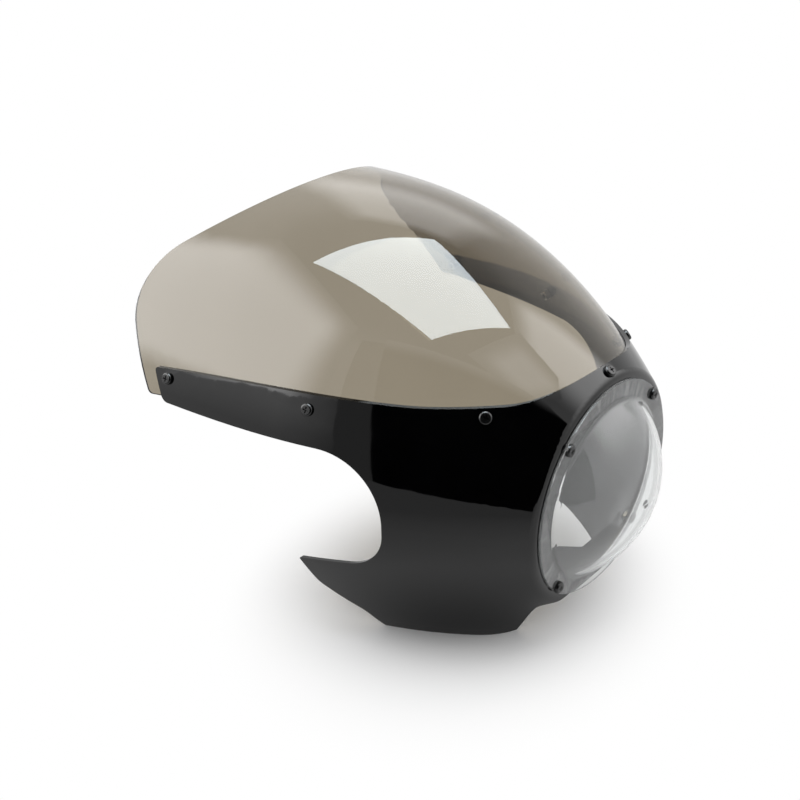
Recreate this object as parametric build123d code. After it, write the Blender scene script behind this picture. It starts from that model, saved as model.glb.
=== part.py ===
from build123d import *
import os
from math import comb, cos, exp, radians, sin, sqrt

# Headlight cowl for a motorbike: a moulded black shell, a tinted bubble screen inside its lip,
# a clear domed lamp cover on its nose, and the screws, washers and nuts that hold them together.
# Millimetres. The origin is the centre of the lamp opening, on the face of the nose that the cover lies on,
# with +X forward along the lamp axis, +Y left and +Z up.

# Form that shell and screen share: elliptic sections that swell backwards from the nose's round face
NOSE_RADIUS = 91.0           # of the face, before its edge is rounded
FORM_LENGTH = 357.4
FORM_HALF_WIDTH = 196.0
FORM_CROWN_HEIGHT = 197.0
CHIN_FULLNESS = 30.0         # extra depth of the form below the lamp axis
CHIN_START = 28.0            # distance behind the face where that fullness sets in
SIDE_SWELL = (0.0, 0.55, 0.84, 0.90, 0.97, 1.01)     # shares of the growth, evenly spaced along the form
CROWN_SWELL = (0.0, 0.58, 1.01, 1.06, 0.99, 0.985)
FORM_STATIONS = 30

# Shell
SHELL_WALL = 3.0
FACE_THICKNESS = 3.0         # ring that the cover lies on
FACE_EDGE_RADIUS = 8.5       # rounding from the face into the sides
LAMP_OPENING_RADIUS = 72.0
LIP_HEIGHT = 85.4            # top edge of the shell where it runs level
LIP_FRONT = 18.1             # where the lip turns up towards the nose, behind the face
LIP_CLIMB = 3.1              # slow rise of the lip from its level stretch to that turn
LIP_RISE_ANGLE = 50.0
LIP_RISE_RADIUS = 44.0
LIP_LEVEL_BACK = 83.0        # front end of the level stretch
LIP_LEVEL_RADIUS = 400.0
LIP_LEVEL_LENGTH = 24.0
LIP_BEND_START = LIP_LEVEL_BACK + LIP_LEVEL_LENGTH    # from here to the arm's tip it falls in one long arc
LIP_BEND_SHARE = 0.9         # share of that stretch that is arc, the rest runs straight into it
ARM_LENGTH = 297.9
ARM_TIP_HEIGHT = 72.4
ARM_LOW_HEIGHT = 49.5        # lower edge of the arm
ARM_END_LEAN = 14.0          # how far the arm's end leans forward from tip to lower edge
ARM_TIP_RADIUS = 2.0
ARM_HEEL_RADIUS = 9.0
NOTCH_FRONT = 92.0           # fork notch
NOTCH_TOP_RADIUS = 51.0
NOTCH_LOW_RADIUS = 32.0
NOTCH_LOW_DEPTH = 35.8       # lower edge of the notch at its front
FIN_TIP_BACK = 159.4
FIN_TIP_DEPTH = 47.8
FIN_TIP_RADIUS = 1.5
FIN_BELLY_BACK = 147.9       # upper bend of the fin's lower edge
FIN_BELLY_DEPTH = 69.5
FIN_HEEL_BACK = 118.4        # lower bend of the fin's lower edge
FIN_HEEL_DEPTH = 94.5
FIN_BEND_RADIUS = 22.0
CHIN_DEPTH = 113.0           # flat edges that the cowl stands on
CHIN_BACK = 110.4
CHIN_CORNER_RADIUS = 1.0
ARCH_HALF_WIDTH = 61.0       # gap between the chin lobes
ARCH_TOP_DEPTH = 77.0
ARCH_CORNER_RADIUS = 8.0
SHELF_LENGTH = 22.4          # flat floor of the nose above the arch
SHELF_THICKNESS = 3.0
TAB_LENGTH = 16.0            # tapered tab behind that floor
TAB_ROOT_HALF_WIDTH = 17.0
TAB_END_HALF_WIDTH = 5.0

# Screen
SCREEN_WALL = 1.8
SCREEN_GAP = 0.3             # between shell and screen
SCREEN_LAP = 23.0            # depth of the screen behind the lip
SCREEN_LAP_START = 32.4      # where the full lap begins, behind the face
SCREEN_NOSE_GAP = 0.5        # between the screen's front edge and the ring
SCREEN_NOSE_LAP = 8.0        # depth of the screen behind the lip at the nose
SCREEN_TAIL_REACH = 5.5      # lower rear corner, behind the arm's tip
SCREEN_TAIL_RADIUS = 6.0
SCREEN_EAR_HEIGHT = 128.6    # corner at the form's rear end, before it is rounded
SCREEN_EAR_RADIUS = 40.0
SCREEN_TOP_SLOPE = 36.6      # degrees, rise of the rear edge from the ears to the crown

# Lamp cover
COVER_EDGE_INSET = 4.8       # from the face's sharp edge to the cover's
COVER_RADIUS = NOSE_RADIUS - COVER_EDGE_INSET
FLANGE_THICKNESS = 2.0
COVER_CHIN_DEPTH = 82.0      # lowest point of the cover's flatter lower edge
COVER_CHIN_RADIUS = 105.0
DOME_WALL = 3.0
DOME_BASE_RADIUS = 71.0
DOME_RISE = 34.0
DOME_BLEND_RADIUS = 6.0

# Fasteners
SCREW_RADIUS = 2.5
SCREW_HOLE_RADIUS = 2.9
HEAD_RADIUS = 4.75
HEAD_HEIGHT = 2.8
HEAD_EDGE_HEIGHT = 1.2
RECESS_SPAN = 4.6
RECESS_WIDTH = 1.0
RECESS_DEPTH = 1.5
SCREW_END = 2.0              # thread that stands out of the nut
NUT_RADIUS = 4.6             # to the corners
NUT_HEIGHT = 4.0
THREAD_GAP = 0.05
WASHER_RADIUS = 4.75
WASHER_THICKNESS = 1.0
WASHER_SEAT_GAP = 0.15       # flat washer on the hollow side of the curved screen
ARM_SCREW_INSET = 16.0       # rear side screw, ahead of the arm's tip
MIDDLE_SCREW_BACK = 154.6
FRONT_SCREW_BACK = 44.4
SCREW_LIP_DROPS = (7.0, 10.0, 5.8)     # rear, middle and front side screws, below the lip
NOSE_SCREW_BACK = 5.0
COVER_SCREW_INSET = 4.2      # from the cover's edge
COVER_SCREW_ANGLES = (45.0, 135.0, 225.0, 315.0)

LIP_REACH = 8.0              # how far the trimming outlines run past the form
ABOVE_ALL = FORM_CROWN_HEIGHT + LIP_REACH
WIDE_OF_ALL = FORM_HALF_WIDTH + CHIN_FULLNESS


# Form

def swell(shares, back):
    """Smooth growth from the face to the rear end, as a share."""
    n = len(shares) - 1
    s = back / FORM_LENGTH
    return sum(v * comb(n, i) * s**i * (1 - s)**(n - i) for i, v in enumerate(shares))


def half_width(back):
    return NOSE_RADIUS + (FORM_HALF_WIDTH - NOSE_RADIUS) * swell(SIDE_SWELL, back)


def crown_height(back):
    return NOSE_RADIUS + (FORM_CROWN_HEIGHT - NOSE_RADIUS) * swell(CROWN_SWELL, back)


def keel_depth(back):
    return half_width(back) + CHIN_FULLNESS * (1 - exp(-(back / CHIN_START)**3))


def inset_line(line, back, inset):
    """A form line moved inwards by a distance measured square to it."""
    step = FORM_LENGTH / FORM_STATIONS / 100
    slope = (line(back + step) - line(max(back - step, 0))) / (step + min(step, back))
    return line(back) - inset * sqrt(1 + slope**2)


def form(inset):
    """The closed form, moved inwards by a wall."""
    sections = []
    for i in range(FORM_STATIONS + 1):
        back = FORM_LENGTH * i / FORM_STATIONS
        width, crown, keel = (inset_line(line, back, inset) for line in (half_width, crown_height, keel_depth))
        upper = EllipticalCenterArc((0, 0), width, crown, 0, arc_size=180)
        lower = EllipticalCenterArc((0, 0), width, keel, 180, arc_size=180)
        plane = Plane(origin=(-back, 0, 0), x_dir=(0, 1, 0), z_dir=(1, 0, 0))
        sections.append(plane * make_face([upper, lower]))
    return loft(sections)


def wall_between(outer_inset, inner_inset):
    return form(outer_inset) - form(inner_inset)


def side_cutter(points, radii):
    """A prism across the whole width from an outline in side view."""
    outline = Plane.XZ * make_face(FilletPolyline(*points, radius=radii, close=True))
    return extrude(outline, amount=WIDE_OF_ALL, both=True)


# Shell

def lip_bend(end_back):
    """Where the level lip's line and its line to the arm's tip cross, and the radius of the arc between them."""
    run = end_back - LIP_BEND_START
    fall = LIP_HEIGHT - ARM_TIP_HEIGHT
    arc_radius = (run**2 + fall**2) / (2 * fall)
    return LIP_BEND_START + arc_radius * fall / run, LIP_BEND_SHARE * arc_radius


def lip_height(back):
    past = max(back - LIP_BEND_START, 0)
    ahead = max(LIP_LEVEL_BACK - back, 0)
    climb = LIP_CLIMB * ahead / (LIP_LEVEL_BACK - LIP_FRONT)
    return LIP_HEIGHT + climb - (LIP_HEIGHT - ARM_TIP_HEIGHT) * (past / (ARM_LENGTH - LIP_BEND_START))**2


def shell_outline():
    bend_back, bend_radius = lip_bend(ARM_LENGTH)
    rise = (LIP_FRONT + LIP_REACH) * sin(radians(LIP_RISE_ANGLE)) / cos(radians(LIP_RISE_ANGLE))
    corners = [
        ((LIP_REACH, -CHIN_DEPTH), 1.0),
        ((LIP_REACH, LIP_HEIGHT + LIP_CLIMB + rise), 1.0),
        ((-LIP_FRONT, LIP_HEIGHT + LIP_CLIMB), LIP_RISE_RADIUS),
        ((-LIP_LEVEL_BACK, LIP_HEIGHT), LIP_LEVEL_RADIUS),
        ((-bend_back, LIP_HEIGHT), bend_radius),
        ((-ARM_LENGTH, ARM_TIP_HEIGHT), ARM_TIP_RADIUS),
        ((-ARM_LENGTH + ARM_END_LEAN, ARM_LOW_HEIGHT), ARM_HEEL_RADIUS),
        ((-NOTCH_FRONT, ARM_LOW_HEIGHT), NOTCH_TOP_RADIUS),
        ((-NOTCH_FRONT, -NOTCH_LOW_DEPTH), NOTCH_LOW_RADIUS),
        ((-FIN_TIP_BACK, -FIN_TIP_DEPTH), FIN_TIP_RADIUS),
        ((-FIN_BELLY_BACK, -FIN_BELLY_DEPTH), FIN_BEND_RADIUS),
        ((-FIN_HEEL_BACK, -FIN_HEEL_DEPTH), FIN_BEND_RADIUS),
        ((-CHIN_BACK, -CHIN_DEPTH), CHIN_CORNER_RADIUS),
    ]
    return [point for point, _ in corners], [radius for _, radius in corners]


def arch():
    """The gap under the nose, seen from the front."""
    depth = CHIN_DEPTH + LIP_REACH - ARCH_TOP_DEPTH
    outline = RectangleRounded(2 * ARCH_HALF_WIDTH, 2 * depth, ARCH_CORNER_RADIUS)
    plane = Plane(origin=(0, 0, -ARCH_TOP_DEPTH - depth), x_dir=(0, 1, 0), z_dir=(1, 0, 0))
    return extrude(plane * outline, amount=FORM_LENGTH, both=True)


def nose_floor(outer):
    """The flat floor above the arch, out to the shell's wall, with its tab."""
    plate = Box(SHELF_LENGTH, 2 * ARCH_HALF_WIDTH, SHELF_THICKNESS, align=(Align.MAX, Align.CENTER, Align.MIN))
    root, end = -SHELF_LENGTH, -SHELF_LENGTH - TAB_LENGTH
    tab = make_face(Polyline(
        (root, -TAB_ROOT_HALF_WIDTH), (root, TAB_ROOT_HALF_WIDTH),
        (end, TAB_END_HALF_WIDTH), (end, -TAB_END_HALF_WIDTH), close=True))
    floor = plate + extrude(tab, amount=SHELF_THICKNESS)
    return (Pos(0, 0, -ARCH_TOP_DEPTH) * floor) & outer


def cowl_shell(outer, screen_seats, cover_seats):
    face_edge = outer.edges().group_by(Axis.X)[-1]
    rounded = fillet(face_edge, FACE_EDGE_RADIUS)
    behind_ring = Pos(-FACE_THICKNESS, 0, 0) * Box(
        2 * FORM_LENGTH, 2 * WIDE_OF_ALL, 2 * WIDE_OF_ALL, align=(Align.MAX, Align.CENTER, Align.CENTER))
    hollow = form(SHELL_WALL) & behind_ring
    shell = (rounded - hollow) & side_cutter(*shell_outline())
    shell = shell - arch() + nose_floor(rounded)
    shell -= Rot(0, 90, 0) * Cylinder(LAMP_OPENING_RADIUS, 4 * FACE_THICKNESS)
    return drill(shell, screen_seats + cover_seats)


# Screen

def screen_outline():
    front = -FACE_THICKNESS - SCREEN_NOSE_GAP
    tail_back = ARM_LENGTH + SCREEN_TAIL_REACH
    bend_back, bend_radius = lip_bend(tail_back)
    top_back = FORM_LENGTH - (ABOVE_ALL - SCREEN_EAR_HEIGHT) * (
        cos(radians(SCREEN_TOP_SLOPE)) / sin(radians(SCREEN_TOP_SLOPE)))
    corners = [
        ((front, ABOVE_ALL), 1.0),
        ((front, LIP_HEIGHT - SCREEN_NOSE_LAP), 1.0),
        ((-SCREEN_LAP_START, LIP_HEIGHT - SCREEN_LAP), SCREEN_LAP),
        ((-bend_back, LIP_HEIGHT - SCREEN_LAP), bend_radius),
        ((-tail_back, ARM_TIP_HEIGHT - SCREEN_LAP), SCREEN_TAIL_RADIUS),
        ((-FORM_LENGTH, SCREEN_EAR_HEIGHT), SCREEN_EAR_RADIUS),
        ((-top_back, ABOVE_ALL), 1.0),
    ]
    return [point for point, _ in corners], [radius for _, radius in corners]


def windscreen(screen_seats):
    outside = SHELL_WALL + SCREEN_GAP
    screen = wall_between(outside, outside + SCREEN_WALL) & side_cutter(*screen_outline())
    return drill(screen, screen_seats)


# Lamp cover

def lamp_cover(cover_seats):
    """A turned profile: flange, blend and ball-shaped dome, with a flatter lower edge."""
    ball_radius = (DOME_BASE_RADIUS**2 + DOME_RISE**2) / (2 * DOME_RISE)
    centre = Pos(FLANGE_THICKNESS + DOME_RISE - ball_radius, 0)
    half = Rectangle(2 * COVER_RADIUS, 2 * COVER_RADIUS, align=(Align.MIN, Align.MIN))
    flange = Rectangle(FLANGE_THICKNESS, COVER_RADIUS, align=(Align.MIN, Align.MIN))
    profile = flange + (centre * Circle(ball_radius) & half)
    bend = profile.vertices().sort_by_distance((FLANGE_THICKNESS, DOME_BASE_RADIUS))[0]
    profile = fillet(bend, DOME_BLEND_RADIUS) - centre * Circle(ball_radius - DOME_WALL)
    back_bend = profile.vertices().sort_by_distance((0, DOME_BASE_RADIUS))[0]
    cover = revolve(fillet(back_bend, DOME_BLEND_RADIUS + FLANGE_THICKNESS), Axis.X)
    lower_edge = Rot(0, 90, 0) * Cylinder(COVER_CHIN_RADIUS, 4 * COVER_RADIUS)
    return drill(cover & Pos(0, 0, COVER_CHIN_RADIUS - COVER_CHIN_DEPTH) * lower_edge, cover_seats)


# Fasteners, each made along +Z with the head's seat at the origin

def pan_screw(length):
    """Pan head with a crossed recess, on a plain shank."""
    head = Cylinder(HEAD_RADIUS, HEAD_HEIGHT, align=(Align.CENTER, Align.CENTER, Align.MIN))
    rim = head.edges().group_by(Axis.Z)[-1]
    head = fillet(rim, HEAD_HEIGHT - HEAD_EDGE_HEIGHT)
    for turn in (0, 90):
        slot = Box(RECESS_SPAN, RECESS_WIDTH, RECESS_DEPTH, align=(Align.CENTER, Align.CENTER, Align.MAX))
        head -= Pos(0, 0, HEAD_HEIGHT) * Rot(0, 0, turn) * slot
    return head + Cylinder(SCREW_RADIUS, length, align=(Align.CENTER, Align.CENTER, Align.MAX))


def washer():
    ring = Cylinder(WASHER_RADIUS, WASHER_THICKNESS, align=(Align.CENTER, Align.CENTER, Align.MAX))
    return ring - Cylinder(SCREW_HOLE_RADIUS, 4 * WASHER_THICKNESS)


def hex_nut():
    block = extrude(RegularPolygon(NUT_RADIUS, 6), amount=-NUT_HEIGHT)
    return block - Cylinder(SCREW_RADIUS + THREAD_GAP, 4 * NUT_HEIGHT)


def drill(piece, seats):
    for seat in seats:
        piece -= seat * Cylinder(SCREW_HOLE_RADIUS, 4 * (SHELL_WALL + SCREEN_WALL))
    return piece


def fastener_set(seats, washer_depth):
    """Screws, washers and nuts for a list of seats, with the washers at one depth."""
    nut_depth = washer_depth + WASHER_THICKNESS
    screw = pan_screw(nut_depth + NUT_HEIGHT + SCREW_END)
    screws = [seat * screw for seat in seats]
    washers = [seat * Pos(0, 0, -washer_depth) * washer() for seat in seats]
    nuts = [seat * Pos(0, 0, -nut_depth) * hex_nut() for seat in seats]
    return screws, washers, nuts


def seat_on_form(outer, ray):
    """The place where a ray leaves the form, looking along the surface's outward normal."""
    hits = [hit for hit in outer.find_intersection_points(ray) if (hit[0] - ray.position).dot(ray.direction) > 0]
    point, normal = hits[-1]
    if normal.dot(ray.direction) < 0:
        normal = -normal
    return Plane(origin=point, x_dir=normal.cross(Vector(1, 0, 0)), z_dir=normal).location


def screen_screw_seats(outer):
    seats = [seat_on_form(outer, Axis((-NOSE_SCREW_BACK, 0, 0), (0, 0, 1)))]
    backs = (ARM_LENGTH - ARM_SCREW_INSET, MIDDLE_SCREW_BACK, FRONT_SCREW_BACK)
    for back, drop in zip(backs, SCREW_LIP_DROPS):
        for side in (1, -1):
            ray = Axis((-back, 0, lip_height(back) - drop), (0, side, 0))
            seats.append(seat_on_form(outer, ray))
    return seats


def cover_screw_seats():
    seats = []
    out = COVER_RADIUS - COVER_SCREW_INSET
    for angle in COVER_SCREW_ANGLES:
        centre = (FLANGE_THICKNESS, out * sin(radians(angle)), out * cos(radians(angle)))
        seats.append(Plane(origin=centre, x_dir=(0, 0, 1), z_dir=(1, 0, 0)).location)
    return seats


# Assembly

def main():
    os.makedirs("parts", exist_ok=True)
    outer = form(0)
    screen_seats = screen_screw_seats(outer)
    cover_seats = cover_screw_seats()
    screen_stack = SHELL_WALL + SCREEN_GAP + SCREEN_WALL + WASHER_SEAT_GAP
    cover_stack = FLANGE_THICKNESS + FACE_THICKNESS
    screen_screws, screen_washers, screen_nuts = fastener_set(screen_seats, screen_stack)
    cover_screws, cover_washers, cover_nuts = fastener_set(cover_seats, cover_stack)
    nodes = {
        "cowl_shell": [cowl_shell(outer, screen_seats, cover_seats)],
        "windscreen": [windscreen(screen_seats)],
        "lamp_cover": [lamp_cover(cover_seats)],
        "screen_screws": screen_screws,
        "screen_washers": screen_washers,
        "screen_nuts": screen_nuts,
        "cover_screws": cover_screws,
        "cover_washers": cover_washers,
        "cover_nuts": cover_nuts,
    }
    for name, pieces in nodes.items():
        solids = [solid for piece in pieces for solid in piece.solids()]
        export_step(solids[0] if len(solids) == 1 else Compound(children=solids), f"parts/{name}.step")


main()
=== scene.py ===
import bpy
from math import radians
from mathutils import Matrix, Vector


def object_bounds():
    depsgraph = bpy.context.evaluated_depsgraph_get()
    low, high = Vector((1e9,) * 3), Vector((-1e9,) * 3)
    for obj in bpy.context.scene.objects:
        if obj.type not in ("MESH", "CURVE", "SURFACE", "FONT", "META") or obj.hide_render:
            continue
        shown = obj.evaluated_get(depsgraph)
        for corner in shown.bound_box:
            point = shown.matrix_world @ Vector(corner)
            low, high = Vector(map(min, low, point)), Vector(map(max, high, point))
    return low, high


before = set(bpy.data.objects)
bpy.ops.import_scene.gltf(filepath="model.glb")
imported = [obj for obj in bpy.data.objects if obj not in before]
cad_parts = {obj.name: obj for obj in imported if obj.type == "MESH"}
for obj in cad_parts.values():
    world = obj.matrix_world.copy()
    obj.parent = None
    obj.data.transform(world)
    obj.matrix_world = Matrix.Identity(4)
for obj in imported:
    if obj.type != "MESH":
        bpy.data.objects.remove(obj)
cad_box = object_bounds()


# Cowl shell. The real piece is one injection moulding in black ABS, polished in the mould,
# with a lip that the screen laps behind and rounded notches for the fork legs.
def linear(hex_colour):
    """The linear colour of an sRGB hex value, opaque."""
    parts = [int(hex_colour[i:i + 2], 16) / 255 for i in (1, 3, 5)]
    return [c / 12.92 if c <= 0.04045 else ((c + 0.055) / 1.055) ** 2.4 for c in parts] + [1.0]


def add(tree, kind, inputs=None, **settings):
    """Adds a node with its settings, and links or sets its inputs."""
    made = tree.nodes.new(kind)
    for name, value in settings.items():
        setattr(made, name, value)
    for name, value in (inputs or {}).items():
        if isinstance(value, bpy.types.NodeSocket):
            tree.links.new(value, made.inputs[name])
        else:
            made.inputs[name].default_value = value
    return made


def new_material(name):
    """An empty node material and its tree."""
    made = bpy.data.materials.new(name)
    made.use_nodes = True
    made.node_tree.nodes.clear()
    return made, made.node_tree


def clouded(tree, width, detail, colours, roughness, spread=(0.0, 1.0)):
    """Shader inputs whose colour and roughness drift over soft clouds of the given width in metres."""
    place = add(tree, "ShaderNodeTexCoord").outputs["Object"]
    clouds = add(tree, "ShaderNodeTexNoise", {"Vector": place, "Scale": 1 / width, "Detail": detail})
    drift = clouds.outputs["Fac"]
    # A mix of colours takes them at its inputs 6 and 7 and gives the result at its output 2.
    colour = add(tree, "ShaderNodeMix", {
        0: drift, 6: linear(colours[0]), 7: linear(colours[1])}, data_type="RGBA")
    shine = add(tree, "ShaderNodeMapRange", {
        "Value": drift, "From Min": spread[0], "From Max": spread[1],
        "To Min": roughness[0], "To Max": roughness[1]})
    return {"Base Color": colour.outputs[2], "Roughness": shine.outputs["Result"]}


def dress(material, *names):
    """Gives the named nodes one material."""
    for name in names:
        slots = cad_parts[name].data.materials
        slots.clear()
        slots.append(material)


mm = 0.001
haze_width = 30 * mm
peel_width = 4 * mm
peel_depth = 0.05 * mm

# Polished black ABS: a deep black under a clear mirror gloss, with faint mould haze
# some 30 mm across and the slight orange peel, about 4 mm apart, of a moulded face.
polished_abs, tree = new_material("polished_black_ABS")
look = clouded(tree, haze_width, detail=3.0, colours=("#010101", "#040405"),
               roughness=(0.03, 0.06), spread=(0.3, 0.7))
place = add(tree, "ShaderNodeTexCoord").outputs["Object"]
peel = add(tree, "ShaderNodeTexNoise", {"Vector": place, "Scale": 1 / peel_width, "Detail": 1.0})
relief = add(tree, "ShaderNodeBump", {
    "Height": peel.outputs["Fac"], "Strength": 0.03, "Distance": peel_depth})
skin = add(tree, "ShaderNodeBsdfPrincipled", {
    **look, "IOR": 1.45, "Normal": relief.outputs["Normal"]})
add(tree, "ShaderNodeOutputMaterial", {"Surface": skin.outputs["BSDF"]})
dress(polished_abs, "cowl_shell")


# Windscreen. The real piece is one sheet of smoke acrylic, heated and blown to a bubble,
# then trimmed and drilled. It laps inside the shell's lip and is held there by seven screws.
tint_width = 80 * mm

# Smoke acrylic: a warm grey that stays clear to look through, with a face as smooth as glass.
# Its tint drifts a little over some 80 mm, as the blown sheet grows thinner or thicker.
smoke_acrylic, tree = new_material("smoke_acrylic")
look = clouded(tree, tint_width, detail=2.0, colours=("#8d8473", "#958c7b"), roughness=(0.0, 0.02))
skin = add(tree, "ShaderNodeBsdfPrincipled", {**look, "IOR": 1.49, "Transmission Weight": 1.0})
add(tree, "ShaderNodeOutputMaterial", {"Surface": skin.outputs["BSDF"]})
dress(smoke_acrylic, "windscreen")


# Lamp cover. The real piece is one clear moulding: a ball-shaped dome on a flat flange,
# laid on the face of the nose and held by four screws near its edge.
flow_width = 50 * mm

# Clear acrylic: colourless and smooth, with a bright rim where the dome turns away from the eye.
# The moulding is very slightly milky, so the dark behind it looks a little pale.
clear_acrylic, tree = new_material("clear_acrylic")
look = clouded(tree, flow_width, detail=2.0, colours=("#f5f7f7", "#fafbfb"), roughness=(0.0, 0.02))
skin = add(tree, "ShaderNodeBsdfPrincipled", {**look, "IOR": 1.49, "Transmission Weight": 0.92})
add(tree, "ShaderNodeOutputMaterial", {"Surface": skin.outputs["BSDF"]})
dress(clear_acrylic, "lamp_cover")


# Screws. The real ones are pan-head machine screws with a crossed recess, cold formed from steel
# and then coated black. Seven hold the screen to the lip, and four hold the cover to the nose.
coat_grain = 0.6 * mm

# Black coated steel: a satin black that catches soft lights round the edge of each head.
# The grain of such a coat is too fine to show. It is drawn 0.6 mm wide, which shows close up.
black_steel, tree = new_material("black_coated_steel")
look = clouded(tree, coat_grain, detail=2.0, colours=("#060606", "#0c0c0d"), roughness=(0.14, 0.26))
skin = add(tree, "ShaderNodeBsdfPrincipled", {**look, "IOR": 1.5})
add(tree, "ShaderNodeOutputMaterial", {"Surface": skin.outputs["BSDF"]})
dress(black_steel, "screen_screws", "cover_screws")


# Washers and nuts. The real ones are plain steel, stamped or cold formed and then zinc plated.
# They sit behind the screen and the nose ring, one of each on every screw.
plating_grain = 0.8 * mm

# Zinc plated steel: a pale grey metal with a soft, even shine.
# The grain of such plating is too fine to show. It is drawn 0.8 mm wide, which shows close up.
zinc_steel, tree = new_material("zinc_plated_steel")
look = clouded(tree, plating_grain, detail=3.0, colours=("#9a9b9c", "#b5b6b6"), roughness=(0.25, 0.4))
skin = add(tree, "ShaderNodeBsdfPrincipled", {**look, "Metallic": 1.0})
add(tree, "ShaderNodeOutputMaterial", {"Surface": skin.outputs["BSDF"]})
dress(zinc_steel, "screen_washers", "screen_nuts", "cover_washers", "cover_nuts")


# Studio floor. A sheet of white paper laid flat under the cowl, in a white tent with a soft box
# overhead and a dark opening in front. It isn't part of the cowl.
def sheet(name, corners, material):
    """A flat sheet of the studio, which isn't part of the cowl."""
    mesh = bpy.data.meshes.new(name)
    mesh.from_pydata([Vector(c) for c in corners], [], [(0, 1, 2, 3)])
    made = bpy.data.objects.new(name, mesh)
    bpy.context.scene.collection.objects.link(made)
    made.data.materials.append(material)
    return made


def looked_at(tree):
    """1 for a ray from the camera, from a mirroring face or through a clear piece, otherwise 0."""
    way = add(tree, "ShaderNodeLightPath")
    share = 0.0
    for kind in ("Is Camera Ray", "Is Glossy Ray", "Is Transmission Ray"):
        share = add(tree, "ShaderNodeMath", {
            0: share, 1: way.outputs[kind]}, operation="MAXIMUM").outputs[0]
    return share


floor_z = cad_box[0][2]
floor_reach = 4.0
shade_oval = {"Location": (-0.099, -0.041, floor_z), "Scale": (0.833, 1, 1)}
shade_fade = {"From Min": 0.054, "From Max": 0.221}
# Painted shadow about the cowl's foot and painted shade towards the front, both in the floor's glow as
# the gloss shows it.
painted_shadow_middle = (-0.1, -0.035, floor_z)
painted_shadow_fade = {"From Min": 0.06, "From Max": 0.18, "To Min": 0.1, "To Max": 0.9}
painted_front_shade_fade = {"From Min": -0.2, "From Max": -0.42, "To Min": 1.0, "To Max": 0.6}

# White paper: plain white to the eye, with the cowl's soft shade in an oval under it. In the gloss its
# glow carries a painted shadow, dark about the cowl's foot, and painted shade, dimmer towards the
# front.
white_paper, tree = new_material("white_paper")
spot = add(tree, "ShaderNodeTexCoord").outputs["Object"]
oval = add(tree, "ShaderNodeMapping", {"Vector": spot, **shade_oval}, vector_type="TEXTURE")
away = add(tree, "ShaderNodeVectorMath", {0: oval.outputs["Vector"]}, operation="LENGTH")
white = add(tree, "ShaderNodeMapRange", {
    "Value": away.outputs["Value"], **shade_fade}, interpolation_type="SMOOTHSTEP")
plain = add(tree, "ShaderNodeMath", {
    0: looked_at(tree), 1: white.outputs["Result"]}, operation="MULTIPLY")
# A ray bent by a clear piece counts as glossy too, so a mirrored one is glossy and not transmitted.
way = add(tree, "ShaderNodeLightPath")
mirrored = add(tree, "ShaderNodeMath", {
    0: way.outputs["Is Glossy Ray"], 1: way.outputs["Is Transmission Ray"]}, operation="GREATER_THAN")
glow = add(tree, "ShaderNodeMath", {
    0: plain.outputs[0], 1: mirrored.outputs[0]}, operation="MAXIMUM")
# Painted shadow: the floor's glow in the gloss is darker about the cowl's foot, standing in for the
# cowl's shadow.
away = add(tree, "ShaderNodeVectorMath", {0: spot, 1: painted_shadow_middle}, operation="DISTANCE")
foot = add(tree, "ShaderNodeMapRange", {
    "Value": away.outputs["Value"], **painted_shadow_fade}, interpolation_type="SMOOTHSTEP")
# Painted shade: the floor's glow in the gloss dims towards the front.
ahead = add(tree, "ShaderNodeSeparateXYZ", {0: spot})
front = add(tree, "ShaderNodeMapRange", {"Value": ahead.outputs["Y"], **painted_front_shade_fade})
# The floor's level in the gloss is this painted shadow times the painted shade towards the front.
gloss = add(tree, "ShaderNodeMath", {
    0: foot.outputs["Result"], 1: front.outputs["Result"]}, operation="MULTIPLY")
# A mix of numbers takes them at its inputs 2 and 3.
level = add(tree, "ShaderNodeMix", {0: mirrored.outputs[0], 2: 1.0, 3: gloss.outputs[0]})
paper = add(tree, "ShaderNodeBsdfDiffuse", {"Color": linear("#e8e8e8")})
light = add(tree, "ShaderNodeEmission", {"Color": linear("#ffffff"), "Strength": level.outputs[0]})
both = add(tree, "ShaderNodeMixShader", {0: glow.outputs[0], 1: paper.outputs[0], 2: light.outputs[0]})
add(tree, "ShaderNodeOutputMaterial", {"Surface": both.outputs[0]})
corner_signs = [(-1, -1), (1, -1), (1, 1), (-1, 1)]
sheet("floor", [(x * floor_reach, y * floor_reach, floor_z) for x, y in corner_signs], white_paper)


# Tent walls and soft box face. White cloth, brighter or darker in places. They are made as glowing
# sheets that only the gloss of the cowl shows, where level 1 is the tent's own white.
def only_in_gloss(made):
    made.visible_camera = made.visible_diffuse = made.visible_transmission = made.visible_shadow = False


def card(name, left, right, low, high, material):
    """An upright wall from one floor point to another."""
    only_in_gloss(sheet(name, [(*left, low), (*right, low), (*right, high), (*left, high)], material))


def overhead(name, height, outline, material):
    """A level sheet above the cowl."""
    only_in_gloss(sheet(name, [(*corner, height) for corner in outline], material))


def plain_cloth(name, level, colour="#ffffff"):
    """Cloth of one even level."""
    made, tree = new_material(name)
    light = add(tree, "ShaderNodeEmission", {"Color": linear(colour), "Strength": level})
    add(tree, "ShaderNodeOutputMaterial", {"Surface": light.outputs[0]})
    return made


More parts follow.
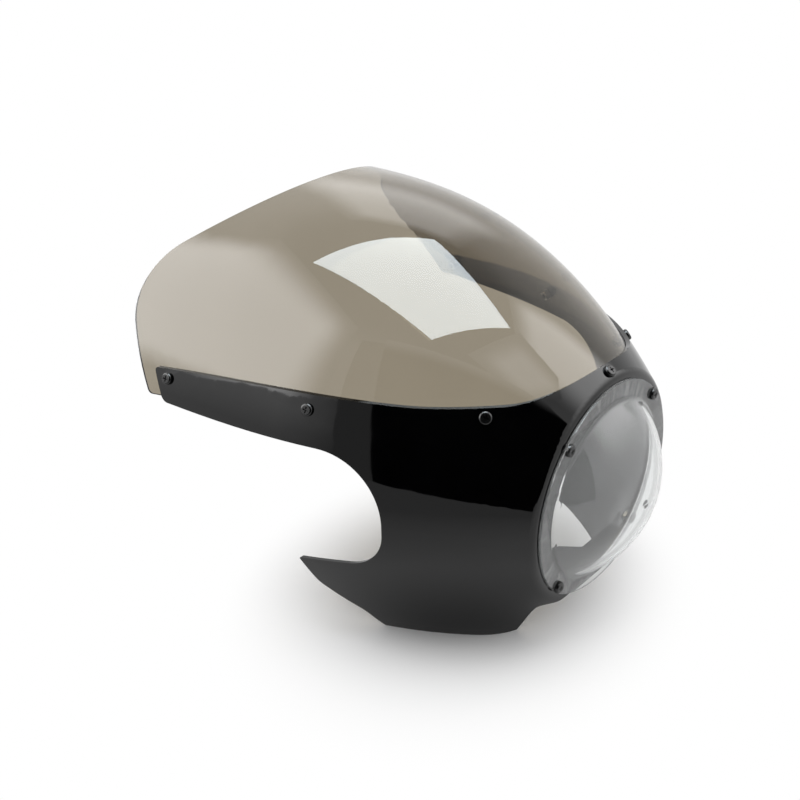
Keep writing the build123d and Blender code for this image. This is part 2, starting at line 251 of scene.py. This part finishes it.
def lit_cloth(name, fades, level, across="XZ"):
    """Cloth that is brighter or darker than the tent, and fades to its level at each edge.

    The fades are shares of the width, at the left and right, and of the height, at the foot and top.
    """
    made, tree = new_material(name)
    part = add(tree, "ShaderNodeSeparateXYZ", {0: add(tree, "ShaderNodeTexCoord").outputs["Generated"]})
    width, height = across
    share = 1.0
    for axis, edge, fade in zip((width, width, height, height), (0, 1, 0, 1), fades):
        rise = add(tree, "ShaderNodeMapRange", {
            "Value": part.outputs[axis], "From Min": edge, "From Max": abs(edge - fade)},
            interpolation_type="SMOOTHSTEP")
        share = add(tree, "ShaderNodeMath", {
            0: share, 1: rise.outputs["Result"]}, operation="MULTIPLY").outputs[0]
    mixed = add(tree, "ShaderNodeMapRange", {"Value": share, "To Min": 1.0, "To Max": level})
    light = add(tree, "ShaderNodeEmission", {
        "Color": linear("#ffffff"), "Strength": mixed.outputs["Result"]})
    add(tree, "ShaderNodeOutputMaterial", {"Surface": light.outputs[0]})
    return made


# White cloth: the gloss shows a dark room through the opening, a shaded flap beside it, and bright
# patches with soft edges on the walls and the roof.
card("tent_opening", left=(-0.01, -0.888), right=(1.0, -0.173), low=floor_z, high=1.3,
     material=lit_cloth("dark_room", fades=(0.001, 0.001, 0.001, 0.2), level=0.0))
card("tent_flap", left=(-0.175, -1.003), right=(-0.01, -0.888), low=floor_z, high=1.2,
     material=plain_cloth("shaded_cloth", level=0.4))
card("left_wall", left=(-1.62, -0.22), right=(-0.31, -1.4), low=0.1, high=1.95,
     material=lit_cloth("lit_cloth_left", fades=(0.22, 0.2, 0.11, 0.4), level=5.2))
card("right_wall", left=(0.3, 1.15), right=(1.1, 0.0), low=0.05, high=1.9,
     material=lit_cloth("lit_cloth_right", fades=(0.2, 0.45, 0.4, 0.25), level=4.3))
card("rear_wall", left=(-1.35, 0.62), right=(-0.35, 1.3), low=0.55, high=2.1,
     material=lit_cloth("lit_cloth_rear", fades=(0.25, 0.25, 0.25, 0.25), level=2.6))

# The foot of the left wall is a strip whose top edge climbs to the right. It dims downwards and
# towards the flap.
strip_left = (-1.082, -0.69)
strip_right = (-0.08, -1.593)
strip_top_left = 0.0
strip_top_right = 0.59
strip_upwards = {"From Min": 0.16, "From Max": 0.52, "To Min": 0.95, "To Max": 1.55}
strip_along = {"From Min": 0.57, "From Max": 0.93, "To Min": 1.0, "To Max": 0.36}
strip_cloth, tree = new_material("shaded_cloth_strip")
part = add(tree, "ShaderNodeSeparateXYZ", {0: add(tree, "ShaderNodeTexCoord").outputs["Generated"]})
upwards = add(tree, "ShaderNodeMapRange", {"Value": part.outputs["Z"], **strip_upwards})
along = add(tree, "ShaderNodeMapRange", {"Value": part.outputs["X"], **strip_along})
level = add(tree, "ShaderNodeMath", {
    0: upwards.outputs["Result"], 1: along.outputs["Result"]}, operation="MULTIPLY")
light = add(tree, "ShaderNodeEmission", {"Color": linear("#ffffff"), "Strength": level.outputs[0]})
add(tree, "ShaderNodeOutputMaterial", {"Surface": light.outputs[0]})
only_in_gloss(sheet("wall_strip", [
    (*strip_left, floor_z), (*strip_right, floor_z),
    (*strip_right, strip_top_right), (*strip_left, strip_top_left)], strip_cloth))

overhead("right_roof", height=1.3, outline=[(0.47, -0.4), (1.03, -0.4), (1.03, 0.4), (0.47, 0.4)],
         material=lit_cloth("lit_cloth_roof", fades=(0.35, 0.35, 0.35, 0.35), level=2.6, across="XY"))
overhead("soft_box_face", height=1.0,
         outline=[(-0.634, -0.295), (-0.32, 0.445), (0.3, 0.237), (0.15, -0.425)],
         material=plain_cloth("soft_box_cloth", level=11.4, colour="#eef9ff"))


# Light and camera. The tent is the world: white to the eye and in the gloss, dimmer at its roof, and
# an even light on the cowl. The soft box's lamp lights it from above.
tent_light = 0.6
roof_fade = {"From Min": 0.68, "From Max": 0.88, "To Min": 1.0, "To Max": 0.6}
world = bpy.data.worlds.new("tent")
bpy.context.scene.world = world
world.use_nodes = True
tree = world.node_tree
tree.nodes.clear()
aim = add(tree, "ShaderNodeSeparateXYZ", {0: add(tree, "ShaderNodeTexCoord").outputs["Generated"]})
roof = add(tree, "ShaderNodeMapRange", {
    "Value": aim.outputs["Z"], **roof_fade}, interpolation_type="SMOOTHSTEP")
level = add(tree, "ShaderNodeMix", {0: looked_at(tree), 2: tent_light, 3: roof.outputs["Result"]})
tent = add(tree, "ShaderNodeBackground", {"Color": linear("#ffffff"), "Strength": level.outputs[0]})
add(tree, "ShaderNodeOutputWorld", {"Surface": tent.outputs[0]})

# The lamp itself isn't mirrored, because the soft box's face above stands for it in the gloss.
lamp = bpy.data.lights.new("soft_box", "AREA")
lamp.shape = "SQUARE"
lamp.size = 0.7
lamp.energy = 7.5
soft_box = bpy.data.objects.new("soft_box", lamp)
soft_box.location = (-0.117, -0.03, 1.01)
soft_box.rotation_euler = (0, 0, radians(-13))
soft_box.visible_camera = soft_box.visible_glossy = False
bpy.context.scene.collection.objects.link(soft_box)

# The camera looks from the photograph's viewing angle.
camera_aim = Vector((-0.5842, 0.6727, -0.4541))
lens = bpy.data.cameras.new("camera")
lens.sensor_width = 36.0
lens.lens = 47.25
camera = bpy.data.objects.new("camera", lens)
camera.location = (0.326135, -0.609239, 0.417540)
camera.rotation_euler = camera_aim.to_track_quat("-Z", "Y").to_euler()
bpy.context.scene.collection.objects.link(camera)
bpy.context.scene.camera = camera
bpy.context.scene.view_settings.view_transform = "Standard"
